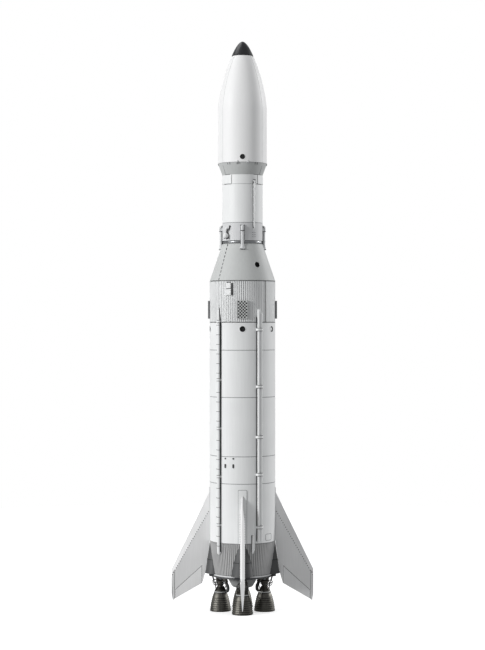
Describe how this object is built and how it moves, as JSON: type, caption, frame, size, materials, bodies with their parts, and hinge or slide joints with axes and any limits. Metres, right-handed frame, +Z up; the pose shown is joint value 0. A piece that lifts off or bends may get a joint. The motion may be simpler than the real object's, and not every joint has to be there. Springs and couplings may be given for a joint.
{
  "type": "two-stage space rocket",
  "caption": "Slim upright space rocket with a pointed opening nose fairing, tail fins with rudders and swinging engines.",
  "frame": {"origin": "on the floor under the rocket's long axis, in the plane of the nozzle rims", "axes": "+Z up along the rocket, -Y towards the front with the single vent port, +X towards the right fin"},
  "size_m": [8.22, 8.22, 33.08],
  "materials": {
    "white_paint": "satin white enamel",
    "grey_paint": "satin grey enamel",
    "dark_grey_paint": "satin dark grey enamel",
    "charcoal": "charcoal heat-resistant paint",
    "polished_metal": "polished",
    "gunmetal": "heat-tinted steel"
  },
  "bodies": {
    "vehicle": {"base_plate": "charcoal", "base_dome": "grey_paint", "aft_skirt": "dark_grey_paint", "engine_fairing_front": "charcoal", "engine_fairing_right": "charcoal", "engine_fairing_rear": "charcoal", "engine_fairing_left": "charcoal", "stage1_fuel_tank": "white_paint", "stage1_intertank": "white_paint", "stage1_oxidiser_tank_lower": "white_paint", "stage1_oxidiser_tank_upper": "white_paint", "stage1_oxidiser_tank_end": "white_paint", "forward_skirt": "white_paint", "interstage_cone": "grey_paint", "separation_ring": "polished_metal", "equipment_bay": "white_paint", "stage2_tank": "white_paint", "stage2_forward_skirt": "white_paint", "fairing_base": "grey_paint", "payload_adapter": "grey_paint", "fin_front": "white_paint", "fin_right": "white_paint", "fin_rear": "white_paint", "fin_left": "white_paint", "cable_duct_left": "white_paint", "cable_duct_right": "white_paint", "stage2_cable_duct": "white_paint", "drain_pipe": "white_paint", "vent_grille_front": "grey_paint", "vent_grille_right": "grey_paint", "vent_grille_rear": "grey_paint", "vent_grille_left": "grey_paint", "equipment_box": "white_paint", "roll_thruster": "white_paint"},
    "engine_front": {"engine_front_chamber": "gunmetal", "engine_front_nozzle": "gunmetal", "engine_front_turbopump": "gunmetal"},
    "engine_right": {"engine_right_chamber": "gunmetal", "engine_right_nozzle": "gunmetal", "engine_right_turbopump": "gunmetal"},
    "engine_rear": {"engine_rear_chamber": "gunmetal", "engine_rear_nozzle": "gunmetal", "engine_rear_turbopump": "gunmetal"},
    "engine_left": {"engine_left_chamber": "gunmetal", "engine_left_nozzle": "gunmetal", "engine_left_turbopump": "gunmetal"},
    "rudder_front": {"rudder_front": "white_paint"},
    "rudder_right": {"rudder_right": "white_paint"},
    "rudder_rear": {"rudder_rear": "white_paint"},
    "rudder_left": {"rudder_left": "white_paint"},
    "petal_front": {"fairing_petal_front": "white_paint", "nose_cap": "charcoal"},
    "petal_right": {"fairing_petal_right": "white_paint"},
    "petal_left": {"fairing_petal_left": "white_paint"}
  },
  "joints": [
    {"name": "gimbal_front", "type": "hinge", "parent": "vehicle", "child": "engine_front", "pos_m": [0, -1.278, 1.9], "axis": [1, 0, 0], "range_deg": [-6, 6]},
    {"name": "gimbal_right", "type": "hinge", "parent": "vehicle", "child": "engine_right", "pos_m": [1.278, 0, 1.9], "axis": [0, 1, 0], "range_deg": [-6, 6]},
    {"name": "gimbal_rear", "type": "hinge", "parent": "vehicle", "child": "engine_rear", "pos_m": [0, 1.278, 1.9], "axis": [-1, 0, 0], "range_deg": [-6, 6]},
    {"name": "gimbal_left", "type": "hinge", "parent": "vehicle", "child": "engine_left", "pos_m": [-1.278, 0, 1.9], "axis": [0, -1, 0], "range_deg": [-6, 6]},
    {"name": "steer_front", "type": "hinge", "parent": "vehicle", "child": "rudder_front", "pos_m": [0, -2.36, 2.58], "axis": [0, -0.7421, -0.6703], "range_deg": [-15, 15]},
    {"name": "steer_right", "type": "hinge", "parent": "vehicle", "child": "rudder_right", "pos_m": [2.36, 0, 2.58], "axis": [0.7421, 0, -0.6703], "range_deg": [-15, 15]},
    {"name": "steer_rear", "type": "hinge", "parent": "vehicle", "child": "rudder_rear", "pos_m": [0, 2.36, 2.58], "axis": [0, 0.7421, -0.6703], "range_deg": [-15, 15]},
    {"name": "steer_left", "type": "hinge", "parent": "vehicle", "child": "rudder_left", "pos_m": [-2.36, 0, 2.58], "axis": [-0.7421, 0, -0.6703], "range_deg": [-15, 15]},
    {"name": "open_front", "type": "hinge", "parent": "vehicle", "child": "petal_front", "pos_m": [0, -1.44, 25.93], "axis": [1, 0, 0], "range_deg": [0, 60]},
    {"name": "open_right", "type": "hinge", "parent": "vehicle", "child": "petal_right", "pos_m": [1.24708, 0.72, 25.93], "axis": [-0.5, 0.866, 0], "range_deg": [0, 60]},
    {"name": "open_left", "type": "hinge", "parent": "vehicle", "child": "petal_left", "pos_m": [-1.24708, 0.72, 25.93], "axis": [-0.5, -0.866, 0], "range_deg": [0, 60]}
  ]
}
